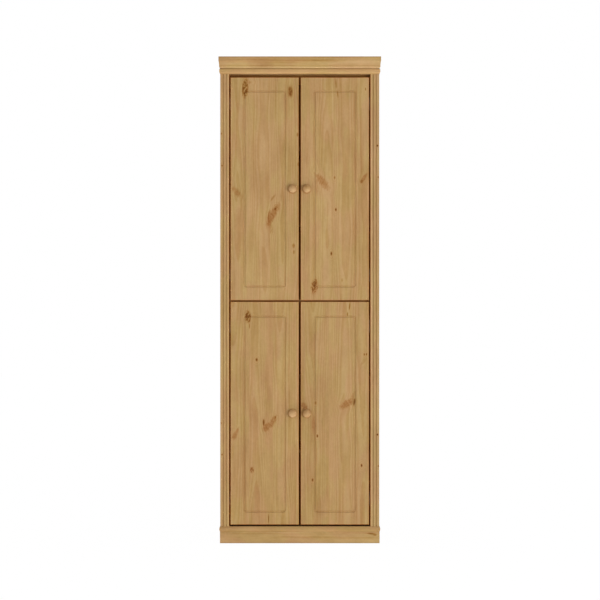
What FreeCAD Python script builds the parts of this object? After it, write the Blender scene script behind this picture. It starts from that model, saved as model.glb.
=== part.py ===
"""Four-door pine cupboard in its own frame, in millimetres.

Z is up and the floor is z = 0. X runs from left to right as seen from the front, with the
middle of the cupboard at x = 0. Y runs from the front to the back, and y = 0 is half way
between the knobs' tips and the back edge.
"""

import FreeCAD
import Part
import math
import os

Vector = FreeCAD.Vector

# Carcass, measured over the two fluted front stiles
cupboard_width = 636.0
cupboard_depth = 390.0
plinth_height = 45.4
base_thickness = 21.8
opening_height = 1808.8
top_thickness = 20.4
cornice_height = 49.6
panel_thickness = 18.0
shelf_thickness = 18.0
nosing_root = 0.5
base_overhang = 3.7
top_overhang = 4.0
top_bevel_height = 9.0
top_ease = 2.0
plinth_overhang = 1.2
plinth_thickness = 18.0
edge_ease = 1.0
cut_overrun = 5.0
snap = 0.001

# Fluted front stiles
stile_width = 36.0
stile_thickness = 20.0
flute_width = 6.4
flute_depth = 3.0
flute_pitch = 12.0
flute_count = 2

# Cornice moulding, each size counted from the face of the stiles or from the top panel
cornice_thickness = 20.0
cornice_root = 1.6
quirk_height = 4.4
lip_root = 2.2
lip_reach = 4.4
lip_height = 4.4
cove_head_reach = 6.3
cove_hollow = 0.5
cornice_reach = 7.0
fillet_height = 18.2

# Stop rail behind the upper doors, under the top panel
stop_rail_height = 39.0
stop_rail_thickness = 18.0

# Back panels in their rebates
back_thickness = 4.0
rebate_width = 8.0
rebate_depth = 6.0
back_clearance = 0.5

# Four inset doors
door_thickness = 18.0
stile_gap = 4.5
meeting_gap = 6.4
middle_gap = 5.4
gap_above_doors = 12.6
gap_below_doors = 6.6
door_ease = 1.2
groove_inset = 56.0
groove_drop_upper = 0.6
groove_drop_lower = 3.5
groove_width = 8.0
groove_depth = 3.4
groove_corner_radius = 8.0

# Turned knobs
knob_edge_distance = 25.0
knob_projection = 27.0
knob_radius = 16.0
knob_widest_at = 17.5
knob_foot_radius = 9.0
knob_foot_height = 2.0
knob_neck_radius = 6.6
knob_neck_at = 6.5
knob_flare_radius = 10.5
knob_flare_at = 11.0
knob_shoulder_radius = 14.6
knob_shoulder_at = 14.0
knob_screw_radius = 2.0
knob_screw_depth = 14.0
knob_head_radius = 4.2
knob_head_height = 2.4

# Cup hinges with one pin each, two to a door
hinge_end_distance = 100.0
cup_radius = 17.5
cup_depth = 11.5
cup_wall = 0.8
cup_edge_distance = 4.5
cup_flange_thickness = 1.2
cup_flange_margin = 1.5
cup_ear_radius = 5.5
cup_screw_spread = 48.0
cup_screw_offset = 6.0
cup_screw_radius = 1.75
cup_screw_length = 13.0
cup_screw_head_radius = 3.4
cup_screw_head_height = 1.6
hinge_pin_inset = 15.0
hinge_pin_depth = 7.2
hinge_pin_radius = 1.5
hinge_pin_length = 25.0
pin_running_clearance = 0.05
pin_lug_gap = 1.5
pin_lug_width = 8.0
pin_lug_height = 6.6
arm_eye_radius = 3.0
arm_thickness = 2.5
arm_width = 12.0
arm_clearance = 0.6
arm_bridge_clearance = 1.5
arm_tail_length = 40.0
arm_neck_angle = 5.0
arm_bend_angle = 88.0
swing_clearance = 0.7
mounting_plate_thickness = 2.5
mounting_plate_length = 36.0
mounting_plate_setback = 3.0
mounting_wing_length = 16.0
mounting_wing_height = 50.0
plate_screw_spread = 32.0
plate_screw_radius = 2.0
plate_screw_length = 15.0
plate_screw_head_radius = 3.8
plate_screw_head_height = 1.8
arm_screw_radius = 2.5
arm_screw_head_radius = 4.5
arm_screw_head_height = 2.2
packing_height = 110.0
packing_length = 64.0

# Adjustable shelves on pins
shelf_setback = 45.0
shelf_side_clearance = 1.0
shelf_back_clearance = 2.0
shelf_ease = 1.5
shelves_per_space = 2
shelf_pin_radius = 2.5
shelf_pin_reach = 10.0
shelf_pin_seat = 8.0
shelf_pin_collar_radius = 4.0
shelf_pin_collar_thickness = 1.2
shelf_pin_edge_distance = 37.0
pin_hole_depth = 10.0
pin_hole_pitch = 32.0
spare_pin_hole_count = 1

# Magnetic catches above and below the middle shelf
catch_width = 46.0
catch_height = 13.0
catch_length = 28.0
catch_centre_distance = 48.0
catch_gap = 0.4
catch_ease = 2.0
catch_screw_spread = 30.0
catch_screw_inset = 8.0
catch_screw_radius = 1.6
catch_screw_bite = 7.0
catch_screw_head_radius = 3.2
catch_screw_head_height = 1.5
strike_width = 38.0
strike_height = 12.0
strike_thickness = 1.2
strike_peg_radius = 2.0
strike_peg_length = 8.0

# Dowels, screws and glue blocks
dowel_radius = 4.0
dowel_length = 30.0
dowel_hole_clearance = 0.5
dowel_seat_in_side = 12.0
dowel_seat_in_stile = 12.0
dowel_end_distance = 110.0
shelf_dowel_count = 3
stile_dowel_count = 5
stile_dowel_end_distance = 60.0
carcass_screw_radius = 2.5
carcass_screw_length = 60.0
carcass_screw_head_radius = 5.0
carcass_screw_head_height = 3.0
carcass_screw_count = 3
carcass_screw_end_distance = 60.0
back_screw_radius = 1.5
back_screw_length = 14.0
back_screw_head_radius = 3.0
back_screw_head_height = 1.4
back_side_screw_count = 5
back_screw_end_distance = 40.0
back_shelf_screw_count = 3
back_screw_shelf_distance = 110.0
back_screw_seam_distance = 4.5
corner_block_size = 30.0

# Cross recess of a screw head, as shares of the head's radius and height
recess_length_share = 0.62
recess_width_share = 0.14
recess_depth_share = 0.6

# Levels and faces that follow from those sizes
half_width = cupboard_width / 2
front = (knob_projection - cupboard_depth) / 2
rear = front + cupboard_depth
base_top = plinth_height + base_thickness
opening_top = base_top + opening_height
top_top = opening_top + top_thickness
side_inner = half_width - panel_thickness
stile_inner = half_width - stile_width
stile_back = front + stile_thickness
door_back = front + door_thickness
door_outer = stile_inner - stile_gap
door_width = door_outer - meeting_gap / 2
door_height = (opening_height - gap_above_doors - gap_below_doors - middle_gap) / 2
lower_door_foot = base_top + gap_below_doors
upper_door_foot = lower_door_foot + door_height + middle_gap
middle_level = upper_door_foot - middle_gap / 2
shelf_under = middle_level - shelf_thickness / 2
shelf_over = middle_level + shelf_thickness / 2
back_face = rear - rebate_depth
back_outside = back_face + back_thickness

# Hinge pin and what its swing asks of the pieces behind it
pin_x = door_outer - hinge_pin_inset
pin_y = door_back - hinge_pin_depth
pin_from_front = door_thickness - hinge_pin_depth
swing_radius = math.hypot(hinge_pin_inset, pin_from_front)
back_corner_radius = math.hypot(hinge_pin_inset, hinge_pin_depth)
swing_back = pin_y + swing_radius
middle_shelf_front = swing_back + swing_clearance
arm_bend_radius = back_corner_radius + arm_clearance + arm_thickness / 2
arm_tail_y = swing_back + arm_bridge_clearance + arm_thickness / 2
arm_tail_x = stile_inner - mounting_plate_thickness - arm_thickness / 2
cup_x = door_outer - cup_edge_distance - cup_radius

X_AXIS = Vector(1, 0, 0)
Y_AXIS = Vector(0, 1, 0)
Z_AXIS = Vector(0, 0, 1)
SIDES = {"left": -1, "right": 1}
DOOR_FEET = {"upper": upper_door_foot, "lower": lower_door_foot}
GROOVE_DROPS = {"upper": groove_drop_upper, "lower": groove_drop_lower}


def box(x_span, y_span, z_span):
    """A block from three (low, high) pairs, given in either order."""
    low = Vector(min(x_span), min(y_span), min(z_span))
    high = Vector(max(x_span), max(y_span), max(z_span))
    size = high - low
    return Part.makeBox(size.x, size.y, size.z, low)


def rod(start, direction, radius, length):
    return Part.makeCylinder(radius, length, start, direction)


def cross_recess(head_point, direction, head_radius, head_height):
    """The cross for the driver, cut down into a head from its outer face."""
    half_length = head_radius * recess_length_share
    half_width_of_arm = head_radius * recess_width_share
    depth = (-cut_overrun, head_height * recess_depth_share)
    long_side = (-half_length, half_length)
    short_side = (-half_width_of_arm, half_width_of_arm)
    cross = box(long_side, short_side, depth).fuse(box(short_side, long_side, depth))
    cross.Placement = FreeCAD.Placement(head_point, FreeCAD.Rotation(Z_AXIS, direction))
    return cross


def screw(face_point, direction, radius, length, head_radius, head_height):
    """A flat-headed screw: the head lies outside the face, the shank goes in along direction."""
    shank = rod(face_point, direction, radius, length)
    head = rod(face_point, direction * -1, head_radius, head_height)
    head_point = face_point - direction * head_height
    recess = cross_recess(head_point, direction, head_radius, head_height)
    return shank.fuse(head).removeSplitter().cut(recess)


def sunk_screw(face_point, direction, radius, length, head_radius, head_height):
    """A countersunk screw whose head is flush with the face."""
    shank = rod(face_point, direction, radius, length)
    head = Part.makeCone(head_radius, radius, head_height, face_point, direction)
    return shank.fuse(head).removeSplitter()


def spread(low, high, count):
    """Evenly spaced places from low to high, both included."""
    step = (high - low) / (count - 1)
    return [low + step * index for index in range(count)]


def is_upright(edge):
    return edge.BoundBox.XLength < snap and edge.BoundBox.YLength < snap


def edges_at(shape, axis, place):
    """The edges that lie wholly in the plane where the named coordinate equals place."""
    found = []
    for edge in shape.Edges:
        values = [getattr(vertex.Point, axis) for vertex in edge.Vertexes]
        if all(abs(value - place) < snap for value in values):
            found.append(edge)
    return found


def to_side(shape, side):
    """Pieces are drawn on the right, and the left ones are their mirror image."""
    if SIDES[side] > 0:
        return shape
    return shape.mirror(Vector(0, 0, 0), X_AXIS)


def both_sides(shapes):
    return [to_side(shape, side) for side in SIDES for shape in shapes]


def cove_radius(width, depth):
    """The radius of a round cutter that leaves a hollow this wide and this deep."""
    return (width * width / 4 + depth * depth) / (2 * depth)


def export(name, shapes):
    shape = shapes[0] if len(shapes) == 1 else Part.makeCompound(shapes)
    shape.exportStep(f"parts/{name}.step")


# Places shared by a hole and by what goes in it


def joint_screw_places():
    """Y places of the long screws that hold the top and bottom panels to the sides."""
    low = front + carcass_screw_end_distance
    high = rear - carcass_screw_end_distance
    return spread(low, high, carcass_screw_count)


def joint_dowel_places():
    """Y places of the dowels beside those screws."""
    return [front + dowel_end_distance, rear - dowel_end_distance]


def stile_dowel_levels():
    low = base_top + stile_dowel_end_distance
    high = opening_top - stile_dowel_end_distance
    return spread(low, high, stile_dowel_count)


def shelf_dowel_places():
    low = middle_shelf_front + carcass_screw_end_distance
    high = rear - carcass_screw_end_distance
    return spread(low, high, shelf_dowel_count)


def stop_rail_middle():
    """The (y, z) middle of the stop rail, where a dowel holds each of its ends."""
    return middle_shelf_front + stop_rail_thickness / 2, opening_top - stop_rail_height / 2


def shelf_levels(floor, ceiling):
    """Undersides of the adjustable shelves, which share one space out evenly."""
    clear = ceiling - floor - shelves_per_space * shelf_thickness
    step = clear / (shelves_per_space + 1) + shelf_thickness
    return [floor + step * (index + 1) - shelf_thickness for index in range(shelves_per_space)]


def all_shelf_levels():
    return {
        "lower": shelf_levels(base_top, shelf_under),
        "upper": shelf_levels(shelf_over, opening_top),
    }


def shelf_pin_places():
    """Y places of the two columns of shelf pins in each side."""
    return [
        front + shelf_setback + shelf_pin_edge_distance,
        back_face - shelf_back_clearance - shelf_pin_edge_distance,
    ]


def hinge_levels(row):
    foot = DOOR_FEET[row]
    return [foot + hinge_end_distance, foot + door_height - hinge_end_distance]


def knob_place(row):
    x = meeting_gap / 2 + knob_edge_distance
    return Vector(x, front, DOOR_FEET[row] + door_height / 2)


def catch_level(row):
    """The middle of a catch: upper doors have theirs on the shelf, lower doors under it."""
    if row == "upper":
        return shelf_over + catch_height / 2
    return shelf_under - catch_height / 2


def back_screw_points():
    """Where the back panels are screwed to the rebates and to the middle shelf."""
    points = []
    spaces = [(base_top, middle_level), (middle_level, opening_top)]
    for foot, head in spaces:
        levels = spread(
            foot + back_screw_end_distance,
            head - back_screw_end_distance,
            back_side_screw_count,
        )
        for level in levels:
            for side in SIDES.values():
                x = side * (side_inner + rebate_width / 2)
                points.append(Vector(x, back_outside, level))
    reach = side_inner - back_screw_shelf_distance
    for x in spread(-reach, reach, back_shelf_screw_count):
        for step in (-back_screw_seam_distance, back_screw_seam_distance):
            points.append(Vector(x, back_outside, middle_level + step))
    return points


# Dowels and screws, each as the solid that also cuts its own hole


def dowel_solids(clearance=0):
    """All the glued dowels; with a clearance they are the longer holes."""
    length = dowel_length + 2 * clearance
    dowels = []
    middle_of_side = side_inner + panel_thickness / 2
    for y in joint_dowel_places():
        for level in (base_top, opening_top):
            start = Vector(middle_of_side, y, level - length / 2)
            dowels.append(rod(start, Z_AXIS, dowel_radius, length))
    for level in stile_dowel_levels():
        start = Vector(middle_of_side, stile_back - dowel_seat_in_stile - clearance, level)
        dowels.append(rod(start, Y_AXIS, dowel_radius, length))
    places = [(y, middle_level) for y in shelf_dowel_places()] + [stop_rail_middle()]
    for y, level in places:
        start = Vector(side_inner + dowel_seat_in_side + clearance, y, level)
        dowels.append(rod(start, X_AXIS * -1, dowel_radius, length))
    return both_sides(dowels)


def carcass_screw_solids():
    screws = []
    x = side_inner + panel_thickness / 2
    sizes = (
        carcass_screw_radius,
        carcass_screw_length,
        carcass_screw_head_radius,
        carcass_screw_head_height,
    )
    for y in joint_screw_places():
        screws.append(sunk_screw(Vector(x, y, plinth_height), Z_AXIS, *sizes))
        screws.append(sunk_screw(Vector(x, y, top_top), Z_AXIS * -1, *sizes))
    return both_sides(screws)


def back_screw_solids():
    sizes = (
        back_screw_radius,
        back_screw_length,
        back_screw_head_radius,
        back_screw_head_height,
    )
    return [screw(point, Y_AXIS * -1, *sizes) for point in back_screw_points()]


# Carcass


def side_panel():
    """Edge-glued board with a rebate for the back and holes for pins, dowels and screws."""
    panel = box((side_inner, half_width), (stile_back, rear), (base_top, opening_top))
    rebate = box(
        (side_inner - cut_overrun, side_inner + rebate_width),
        (back_face, rear + cut_overrun),
        (base_top - cut_overrun, opening_top + cut_overrun),
    )
    cutters = [rebate]
    steps = range(-spare_pin_hole_count, spare_pin_hole_count + 1)
    for levels in all_shelf_levels().values():
        for level in levels:
            for y in shelf_pin_places():
                for step in steps:
                    z = level - shelf_pin_radius + step * pin_hole_pitch
                    start = Vector(side_inner, y, z)
                    cutters.append(rod(start, X_AXIS, shelf_pin_radius, pin_hole_depth))
    cutters += dowel_solids(dowel_hole_clearance)
    cutters += carcass_screw_solids()
    cutters += back_screw_solids()
    return panel.cut(cutters)


def front_stile():
    """Stile with its flutes, glued and dowelled to the front edge of the side panel."""
    stile = box((stile_inner, half_width), (front, stile_back), (base_top, opening_top))
    front_edges = [e for e in edges_at(stile, "y", front) if is_upright(e)]
    stile = stile.makeFillet(edge_ease, front_edges)
    radius = cove_radius(flute_width, flute_depth)
    cutters = []
    for index in range(flute_count):
        x = half_width - flute_pitch * (index + 1)
        start = Vector(x, front + flute_depth - radius, base_top - cut_overrun)
        cutters.append(rod(start, Z_AXIS, radius, opening_height + 2 * cut_overrun))
    return stile.cut(cutters + dowel_solids(dowel_hole_clearance))


def base_path():
    """A round nosing as (distance out, level) places; it shows under the doors."""
    return [
        (-stile_thickness, plinth_height),
        (nosing_root, plinth_height),
        ((base_overhang, (plinth_height + base_top) / 2), (nosing_root, base_top)),
        (-stile_thickness, base_top),
    ]


def top_path():
    """An edge bevelled below and eased above, as (distance out, level) places."""
    corner = top_ease * (1 - math.sqrt(0.5))
    return [
        (-stile_thickness, opening_top),
        (nosing_root, opening_top),
        (top_overhang, opening_top + top_bevel_height),
        (top_overhang, top_top - top_ease),
        ((top_overhang - corner, top_top - corner), (top_overhang - top_ease, top_top)),
        (-stile_thickness, top_top),
    ]


def level_board(low, high, path):
    """A full-width panel with this profile worked on its front and side edges."""
    core = box((-half_width, half_width), (front, rear), (low, high))
    right_edge = side_run(path)
    edges = [front_run(path), right_edge, to_side(right_edge, "left")]
    board = core.fuse(edges).removeSplitter()
    return board.cut(dowel_solids(dowel_hole_clearance) + carcass_screw_solids())


def middle_shelf():
    """Fixed shelf, set back far enough for the doors' hinge edges to swing past it."""
    shelf = box((-side_inner, side_inner), (middle_shelf_front, back_face), (shelf_under, shelf_over))
    shelf = shelf.makeFillet(edge_ease, front_edges_of(shelf, middle_shelf_front))
    cutters = dowel_solids(dowel_hole_clearance) + back_screw_solids() + catch_screw_solids()
    return shelf.cut(cutters)


def stop_rail():
    """Rail behind the upper doors' top edges, as far back as the middle shelf."""
    y_span = (middle_shelf_front, middle_shelf_front + stop_rail_thickness)
    z_span = (opening_top - stop_rail_height, opening_top)
    rail = box((-side_inner, side_inner), y_span, z_span)
    low_edges = [e for e in edges_at(rail, "z", z_span[0]) if e.BoundBox.XLength > snap]
    return rail.makeFillet(edge_ease, low_edges).cut(dowel_solids(dowel_hole_clearance))


def front_edges_of(shape, y):
    return [e for e in edges_at(shape, "y", y) if not is_upright(e)]


def back_panel(foot, head):
    reach = side_inner + rebate_width - back_clearance
    panel = box((-reach, reach), (back_face, back_outside), (foot, head))
    return panel.cut(back_screw_solids())


# Plinth and cornice, each three mitred boards


def mitre_prism(covers_front):
    """All that lies in front of the right-hand mitre, or all that lies beside it."""
    reach = cupboard_depth + cut_overrun
    corner = Vector(half_width, front, -cut_overrun)
    inner = corner + Vector(-reach, reach, 0)
    outer = corner + Vector(reach, -reach, 0)
    third = corner + (Vector(-reach, -reach, 0) if covers_front else Vector(reach, reach, 0))
    face = Part.Face(Part.makePolygon([inner, outer, third, inner]))
    return face.extrude(Vector(0, 0, top_top + cornice_height + 2 * cut_overrun))


def moulding_face(path, place):
    """A face from places joined by lines; a pair of places is an arc through the first."""
    edges = []
    last = path[0]
    for item in path[1:] + path[:1]:
        if isinstance(item[0], tuple):
            middle, end = item
            edges.append(Part.Arc(place(last), place(middle), place(end)).toShape())
        else:
            end = item
            edges.append(Part.makeLine(place(last), place(end)))
        last = end
    return Part.Face(Part.Wire(edges))


def front_run(path):
    """A front board: the profile runs the whole width, then both ends are mitred."""
    start = -half_width - cornice_reach
    face = moulding_face(path, lambda spot: Vector(start, front - spot[0], spot[1]))
    run = face.extrude(Vector(-2 * start, 0, 0))
    beside = mitre_prism(False)
    return run.cut([beside, beside.mirror(Vector(0, 0, 0), X_AXIS)])


def side_run(path):
    """The right-hand board: the profile runs back from the mitre to the rear edge."""
    start = front - cornice_reach
    face = moulding_face(path, lambda spot: Vector(half_width + spot[0], start, spot[1]))
    return face.extrude(Vector(0, rear - start, 0)).cut(mitre_prism(True))


def plinth_path():
    """A plain board as (distance out, level) places."""
    inner = plinth_overhang - plinth_thickness
    return [
        (inner, 0),
        (plinth_overhang, 0),
        (plinth_overhang, plinth_height),
        (inner, plinth_height),
    ]


def cornice_path():
    """Quirk, bevelled lip, shallow cove and top fillet as (distance out, level) places."""
    lip_foot = top_top + quirk_height
    cove_foot = lip_foot + lip_height
    cove_head = top_top + cornice_height - fillet_height
    hollow_reach = (lip_reach + cove_head_reach) / 2 - cove_hollow
    hollow = (hollow_reach, (cove_foot + cove_head) / 2)
    return [
        (-cornice_thickness, top_top),
        (-cornice_root, top_top),
        (-cornice_root, lip_foot),
        (lip_root, lip_foot),
        (lip_reach, cove_foot),
        (hollow, (cove_head_reach, cove_head)),
        (cornice_reach, cove_head),
        (cornice_reach, top_top + cornice_height),
        (-cornice_thickness, top_top + cornice_height),
    ]


def corner_blocks():
    """Glue blocks inside the corners of the plinth and of the cornice."""
    blocks = []
    frames = [
        (plinth_height - corner_block_size, plinth_thickness - plinth_overhang, True),
        (top_top, cornice_thickness, False),
    ]
    for foot, inset, has_back_board in frames:
        x = half_width - inset
        y = front + inset
        z_span = (foot, foot + corner_block_size)
        blocks.append(box((x - corner_block_size, x), (y, y + corner_block_size), z_span))
        y = rear - plinth_thickness if has_back_board else rear
        blocks.append(box((x - corner_block_size, x), (y - corner_block_size, y), z_span))
    return both_sides(blocks)


def plinth_back():
    reach = half_width + plinth_overhang - plinth_thickness
    return box((-reach, reach), (rear - plinth_thickness, rear), (0, plinth_height))


# Adjustable shelves


def adjustable_shelf(under):
    reach = side_inner - shelf_side_clearance
    shelf_front = front + shelf_setback
    shelf = box(
        (-reach, reach),
        (shelf_front, back_face - shelf_back_clearance),
        (under, under + shelf_thickness),
    )
    return shelf.makeFillet(shelf_ease, front_edges_of(shelf, shelf_front))


def shelf_pins():
    pins = []
    for levels in all_shelf_levels().values():
        for level in levels:
            for y in shelf_pin_places():
                centre = Vector(side_inner, y, level - shelf_pin_radius)
                start = centre + X_AXIS * shelf_pin_seat
                pin = rod(start, X_AXIS * -1, shelf_pin_radius, shelf_pin_seat + shelf_pin_reach)
                collar = rod(
                    centre, X_AXIS * -1, shelf_pin_collar_radius, shelf_pin_collar_thickness
                )
                roof = box(
                    (side_inner - shelf_pin_reach, side_inner),
                    (y - shelf_pin_collar_radius, y + shelf_pin_collar_radius),
                    (level, level + shelf_pin_collar_radius),
                )
                pins.append(pin.fuse(collar.cut(roof)).removeSplitter())
    return both_sides(pins)


# Doors


def door_panel(row):
    """One edge-glued board with a routed groove, bored for its cups, knob and strike plate."""
    foot = DOOR_FEET[row]
    inner = meeting_gap / 2
    panel = box((inner, door_outer), (front, door_back), (foot, foot + door_height))
    panel = panel.makeFillet(door_ease, edges_at(panel, "y", front))
    cutters = [groove_cutter(foot - GROOVE_DROPS[row])]
    cutters += [cup_bore(level) for level in hinge_levels(row)]
    cutters += cup_screws(row)
    cutters.append(knob_screw(row))
    cutters.append(strike_plate(row))
    return panel.cut(cutters)


def groove_cutter(foot):
    """A round cutter led once round the door, with rounded corners."""
    radius = cove_radius(groove_width, groove_depth)
    y = front + groove_depth - radius
    left = meeting_gap / 2 + groove_inset
    right = door_outer - groove_inset
    low = foot + groove_inset
    high = foot + door_height - groove_inset
    turn = groove_corner_radius
    offset = turn * (1 - math.sqrt(0.5))
    middle = (left + right) / 2
    edges = [
        Part.makeLine(Vector(middle, y, low), Vector(right - turn, y, low)),
        Part.Arc(
            Vector(right - turn, y, low),
            Vector(right - offset, y, low + offset),
            Vector(right, y, low + turn),
        ).toShape(),
        Part.makeLine(Vector(right, y, low + turn), Vector(right, y, high - turn)),
        Part.Arc(
            Vector(right, y, high - turn),
            Vector(right - offset, y, high - offset),
            Vector(right - turn, y, high),
        ).toShape(),
        Part.makeLine(Vector(right - turn, y, high), Vector(left + turn, y, high)),
        Part.Arc(
            Vector(left + turn, y, high),
            Vector(left + offset, y, high - offset),
            Vector(left, y, high - turn),
        ).toShape(),
        Part.makeLine(Vector(left, y, high - turn), Vector(left, y, low + turn)),
        Part.Arc(
            Vector(left, y, low + turn),
            Vector(left + offset, y, low + offset),
            Vector(left + turn, y, low),
        ).toShape(),
        Part.makeLine(Vector(left + turn, y, low), Vector(middle, y, low)),
    ]
    circle = Part.Wire(Part.makeCircle(radius, Vector(middle, y, low), X_AXIS))
    return Part.Wire(edges).makePipeShell([circle], True, False)


def knob(row):
    """Turned knob, as a half outline led round its axis; (distance from the door, radius)."""
    place = knob_place(row)
    squares = knob_projection**2 - knob_widest_at**2 - knob_radius**2
    crown_centre = squares / (2 * (knob_projection - knob_widest_at))
    crown_radius = knob_projection - crown_centre
    crown_rise = math.asin(knob_radius / crown_radius) / 2

    def at(distance, radius):
        return place + Vector(radius, -distance, 0)

    edges = [
        Part.makeLine(at(0, 0), at(0, knob_foot_radius)),
        Part.makeLine(at(0, knob_foot_radius), at(knob_foot_height, knob_foot_radius)),
        Part.Arc(
            at(knob_foot_height, knob_foot_radius),
            at(knob_neck_at, knob_neck_radius),
            at(knob_flare_at, knob_flare_radius),
        ).toShape(),
        Part.Arc(
            at(knob_flare_at, knob_flare_radius),
            at(knob_shoulder_at, knob_shoulder_radius),
            at(knob_widest_at, knob_radius),
        ).toShape(),
        Part.Arc(
            at(knob_widest_at, knob_radius),
            at(
                crown_centre + crown_radius * math.cos(crown_rise),
                crown_radius * math.sin(crown_rise),
            ),
            at(knob_projection, 0),
        ).toShape(),
        Part.makeLine(at(knob_projection, 0), at(0, 0)),
    ]
    turned = Part.Face(Part.Wire(edges)).revolve(place, Y_AXIS, 360)
    return turned.cut(knob_screw(row))


def knob_screw(row):
    place = knob_place(row) + Y_AXIS * door_thickness
    return screw(
        place,
        Y_AXIS * -1,
        knob_screw_radius,
        door_thickness + knob_screw_depth,
        knob_head_radius,
        knob_head_height,
    )


# Hinges, drawn for the right-hand door, whose pin stands near its outer edge


def cup_bore(level):
    start = Vector(cup_x, door_back - cup_depth, level)
    return rod(start, Y_AXIS, cup_radius, cup_depth + cut_overrun)


def cup_screw_points(level):
    x = cup_x - cup_screw_offset
    half = cup_screw_spread / 2
    return [Vector(x, door_back, level + step) for step in (-half, half)]


def hinge_cup(level):
    """Pressed cup with its eared flange, and two lugs that hold the pin's ends."""
    floor = door_back - cup_depth
    cup = rod(Vector(cup_x, floor, level), Y_AXIS, cup_radius, cup_depth)
    flange_radius = cup_radius + cup_flange_margin
    flange = rod(Vector(cup_x, door_back, level), Y_AXIS, flange_radius, cup_flange_thickness)
    solids = [flange]
    ear_x = cup_x - cup_screw_offset
    for point in cup_screw_points(level):
        solids.append(rod(point, Y_AXIS, cup_ear_radius, cup_flange_thickness))
        solids.append(
            box(
                (ear_x - cup_ear_radius, ear_x + cup_ear_radius),
                (door_back, door_back + cup_flange_thickness),
                (level, point.z),
            )
        )
    inside = cup_radius - cup_wall
    hollow = rod(
        Vector(cup_x, floor + cup_wall, level), Y_AXIS, inside, cup_depth + cut_overrun
    )
    shell = cup.fuse(solids).cut(hollow)
    room = rod(Vector(cup_x, floor, level), Y_AXIS, cup_radius, cup_depth)
    lugs = []
    lug_foot = arm_width / 2 + pin_lug_gap
    for way in (-1, 1):
        lug = box(
            (pin_x - pin_lug_width / 2, pin_x + pin_lug_width / 2),
            (floor, floor + cup_wall + pin_lug_height),
            (level + way * lug_foot, level + way * cup_radius),
        )
        lugs.append(lug.common(room))
    whole = shell.fuse(lugs).removeSplitter()
    return whole.cut([hinge_pin(level)] + cup_screws_at(level))


def hinge_pin(level):
    start = Vector(pin_x, pin_y, level - hinge_pin_length / 2)
    return rod(start, Z_AXIS, hinge_pin_radius, hinge_pin_length)


def cup_screws_at(level):
    screws = []
    for point in cup_screw_points(level):
        face_point = point + Y_AXIS * cup_flange_thickness
        screws.append(
            screw(
                face_point,
                Y_AXIS * -1,
                cup_screw_radius,
                cup_screw_length,
                cup_screw_head_radius,
                cup_screw_head_height,
            )
        )
    return screws


def cup_screws(row):
    return [item for level in hinge_levels(row) for item in cup_screws_at(level)]


def strip(start, end, level):
    """A straight stretch of the hinge arm between two (x, y) places, with round ends."""
    along = Vector(end[0] - start[0], end[1] - start[1], 0)
    low = level - arm_width / 2
    length = along.Length
    bar = Part.makeBox(length, arm_thickness, arm_width, Vector(0, -arm_thickness / 2, 0))
    bar.rotate(Vector(0, 0, 0), Z_AXIS, math.degrees(math.atan2(along.y, along.x)))
    bar.translate(Vector(start[0], start[1], low))
    ends = []
    for x, y in (start, end):
        ends.append(rod(Vector(x, y, low), Z_AXIS, arm_thickness / 2, arm_width))
    return bar.fuse(ends)


def around_pin(angle, radius):
    """A place at this angle from the pin, counted from the middle of the door to the back."""
    turn = math.radians(angle)
    return (pin_x - radius * math.cos(turn), pin_y + radius * math.sin(turn))


def bend(level):
    """The round stretch of the arm, which lets the door's edge swing inside it."""
    low = level - arm_width / 2
    outer = arm_bend_radius + arm_thickness / 2
    inner = arm_bend_radius - arm_thickness / 2
    middle_angle = (arm_neck_angle + arm_bend_angle) / 2
    places = {}
    for name, radius in (("outer", outer), ("inner", inner)):
        for angle in (arm_neck_angle, middle_angle, arm_bend_angle):
            places[name, angle] = Vector(*around_pin(angle, radius), low)
    outer_arc = Part.Arc(
        places["outer", arm_neck_angle],
        places["outer", middle_angle],
        places["outer", arm_bend_angle],
    ).toShape()
    inner_arc = Part.Arc(
        places["inner", arm_bend_angle],
        places["inner", middle_angle],
        places["inner", arm_neck_angle],
    ).toShape()
    far = Part.makeLine(places["outer", arm_bend_angle], places["inner", arm_bend_angle])
    near = Part.makeLine(places["inner", arm_neck_angle], places["outer", arm_neck_angle])
    face = Part.Face(Part.Wire([outer_arc, far, inner_arc, near]))
    return face.extrude(Vector(0, 0, arm_width))


def hinge_arm(level):
    """Swan-necked arm: an eye round the pin, a neck, a bend round the door's edge, a tail."""
    low = level - arm_width / 2
    eye = rod(Vector(pin_x, pin_y, low), Z_AXIS, arm_eye_radius, arm_width)
    neck_end = around_pin(arm_neck_angle, arm_bend_radius)
    bend_end = around_pin(arm_bend_angle, arm_bend_radius)
    tail_start = (arm_tail_x, arm_tail_y)
    tail_end = (arm_tail_x, arm_tail_y + arm_tail_length)
    solids = [
        strip((pin_x, pin_y), neck_end, level),
        bend(level),
        strip(bend_end, tail_start, level),
        strip(tail_start, tail_end, level),
    ]
    arm = eye.fuse(solids).removeSplitter()
    bore = rod(
        Vector(pin_x, pin_y, low - cut_overrun),
        Z_AXIS,
        hinge_pin_radius + pin_running_clearance,
        arm_width + 2 * cut_overrun,
    )
    return arm.cut([bore, arm_screw(level)])


def mounting_plate_span():
    start = arm_tail_y + mounting_plate_setback
    return (start, start + mounting_plate_length)


def mounting_plate(level):
    """Cross-shaped plate on the packing block, under the arm's tail."""
    y_span = mounting_plate_span()
    middle = sum(y_span) / 2
    x_span = (stile_inner - mounting_plate_thickness, stile_inner)
    half = arm_width / 2
    bar = box(x_span, y_span, (level - half, level + half))
    wing_half = mounting_wing_height / 2
    wing = box(
        x_span,
        (middle - mounting_wing_length / 2, middle + mounting_wing_length / 2),
        (level - wing_half, level + wing_half),
    )
    return bar.fuse(wing).removeSplitter().cut(plate_screws(level) + [arm_screw(level)])


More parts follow.
